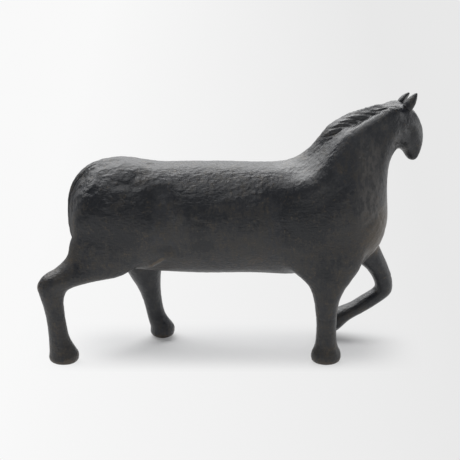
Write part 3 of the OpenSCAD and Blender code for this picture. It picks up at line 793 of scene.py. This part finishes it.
for name in EARS:
    ear = lone_wax(name, EAR_GRAIN)
    ear.relax(12)
    foot, way = ear_axis(name)
    height = (ear.points - foot) @ way
    ear.push(EAR_FULLNESS * smoothstep(4, 8, height) * (1 - 0.7 * smoothstep(10, 18, height)))
    ear.push(0.1 * ear.noise(2.0, 3.0))
    lone_casting(name, ear, patina)

# The tail
# A solid strip laid down the back of the rump, with hair scored along it, brazed on by two studs.
TAIL_GRAIN = 0.6
HAIR_SPACING = 2.3
HAIR_DEPTH = 0.45
tail = lone_wax("tail", TAIL_GRAIN)
tail.relax(16)
strands = tail.points[:, 1] / HAIR_SPACING + 0.5 * tail.noise(9, 1.0)
score = np.abs(strands - np.round(strands))
tail.push(-HAIR_DEPTH * np.exp(-(score / 0.16) ** 2))
tail.push(0.15 * tail.noise(3.0, 6.0))
lone_casting("tail", tail, patina)

# The pins, dowel and plugs
# Bronze rod and discs in the joints and in the casting holes, cut back below the chased surface.
BRIGHT = (0.42, 0.26, 0.11, 1)
DULL = (0.20, 0.12, 0.055, 1)


def bare_material():
    material, tones = new_material("bare_bronze")
    marks = tones.place().noise(3, 3.0, 0.6)
    colour = tones.mix(marks.between(0.35, 0.65), BRIGHT, DULL)
    finish_material(tones, **{"Base Color": colour, "Roughness": 0.3 + marks * 0.3, "Metallic": 1.0})
    return material


def dress(names, material):
    """Gives nodes that are shown as they are a material."""
    for name in names:
        nodes[name].data.materials.clear()
        nodes[name].data.materials.append(material)


dress(FILLINGS, bare_material())

# The pads
# Discs of dark felt glued under the three hooves and the raised toe, which keep metal off a shelf.
PADS = ["right_fore_pad", "left_fore_pad", "right_hind_pad", "left_hind_pad"]
FELT_DARK = (0.012, 0.011, 0.010, 1)
FELT_PALE = (0.030, 0.028, 0.024, 1)


def felt_material():
    material, tones = new_material("felt")
    fibres = tones.place().noise(0.5, 4.0, 0.7)
    colour = tones.mix(fibres.between(0.35, 0.65), FELT_DARK, FELT_PALE)
    bump = tones.node("Bump", {}, {"Strength": 0.6, "Distance": 0.3 * MM, "Height": fibres}, output="Normal")
    finish_material(tones, **{"Base Color": colour, "Roughness": 0.95, "Normal": bump})
    return material


dress(PADS, felt_material())

# The floor, light and camera of the picture
# The figure stands on seamless pale paper, painted as a pale glow that darkens a little to the right, as
# light falling off. A large soft lamp is behind and above it, and weaker ones are overhead, behind, in front
# and to the right.
FLOOR = 20
PALE_LEFT = (0.947, 0.947, 0.947, 1)
PALE_RIGHT = (0.807, 0.807, 0.807, 1)
PAPER = (0.64, 0.64, 0.64, 1)
AMBIENT = (0.155, 0.162, 0.175, 1)
ELEVATION = math.radians(18.6)
CAMERA_DISTANCE = 1.7
SENSOR = 36
AIM = Vector((0, 0, 0.107))
IMAGE = 460
AIM_PIXEL = (229.5, 223.6)
PIXELS_PER_METRE = 1255.8


def paper_material():
    """Paper that shows the figure's shade under it, and elsewhere a pale glow, painted darker to the right
    as light falling off.
    """
    material, tones = new_material("floor_paper")
    place = tones.place()
    across = place.axis("X")
    # The pale glow is painted darker to the right, as light falling off
    share = tones.node("MapRange", {}, {"Value": across, "From Min": -175, "From Max": 190})
    glow = tones.node("Emission", {}, {"Color": tones.mix(share, PALE_LEFT, PALE_RIGHT)})
    paper = tones.node("BsdfDiffuse", {}, {"Color": PAPER})
    rays = ("Is Camera Ray", "Is Glossy Ray", "Is Transmission Ray")
    seen = sum(tones.node("LightPath", output=ray) for ray in rays)
    beside = abs(across).between(85, 160)
    beyond = abs(place.axis("Y") - 6).between(5, 60)
    clear = 1 - (1 - beside) * (1 - beyond)
    both = tones.node("MixShader", {}, {0: seen * (0.1 + clear * 0.9), 1: paper, 2: glow})
    tones.node("OutputMaterial", {}, {"Surface": both})
    return material


mesh = bpy.data.meshes.new("floor")
mesh.from_pydata([(-FLOOR, -FLOOR, 0), (FLOOR, -FLOOR, 0), (FLOOR, FLOOR, 0), (-FLOOR, FLOOR, 0)], [],
                 [(0, 1, 2, 3)])
mesh.materials.append(paper_material())
floor = bpy.data.objects.new("floor", mesh)
bpy.context.scene.collection.objects.link(floor)


def lamp(name, place, target, size, power):
    """A flat lamp of a width and height in metres, turned to a target and not seen itself."""
    data = bpy.data.lights.new(name, "AREA")
    data.shape = "RECTANGLE"
    data.size, data.size_y = size
    data.energy = power
    made = bpy.data.objects.new(name, data)
    made.location = place
    made.rotation_euler = (Vector(target) - Vector(place)).to_track_quat("-Z", "Y").to_euler()
    made.visible_camera = False
    bpy.context.scene.collection.objects.link(made)


lamp("softbox", place=(-0.4, 0.95, 1.3), target=(-0.05, 0, 0.14), size=(2.8, 1.0), power=38)
lamp("overhead", place=(-0.3, -0.05, 1.5), target=(0, 0, 0.14), size=(2.0, 0.8), power=9)
lamp("backdrop_light", place=(0, 2.2, 0.75), target=(0, 0, 0.15), size=(3.0, 1.3), power=15.5)
lamp("front_sheet", place=(0, -2.2, 1.2), target=(0, 0, 0.15), size=(4.0, 2.4), power=3.6)
lamp("right_panel", place=(1.3, -0.9, 0.8), target=(0, 0, 0.12), size=(1.6, 0.9), power=1.2)
lamp("right_strip", place=(0.62, 0.1, 0.2), target=(0.1, 0.02, 0.14), size=(0.36, 0.4), power=0.6)

world = bpy.data.worlds.new("studio")
world.use_nodes = True
world.node_tree.nodes["Background"].inputs["Color"].default_value = AMBIENT
bpy.context.scene.world = world

camera = bpy.data.objects.new("camera", bpy.data.cameras.new("camera"))
camera.location = AIM + CAMERA_DISTANCE * Vector((0, -math.cos(ELEVATION), math.sin(ELEVATION)))
camera.rotation_euler = (math.pi / 2 - ELEVATION, 0, 0)
camera.data.sensor_width = SENSOR
camera.data.lens = SENSOR * PIXELS_PER_METRE * CAMERA_DISTANCE / IMAGE
camera.data.shift_x = (IMAGE / 2 - AIM_PIXEL[0]) / IMAGE
camera.data.shift_y = (AIM_PIXEL[1] - IMAGE / 2) / IMAGE
camera.data.clip_end = 100
bpy.context.scene.collection.objects.link(camera)
bpy.context.scene.camera = camera
bpy.context.scene.view_settings.view_transform = "Standard"
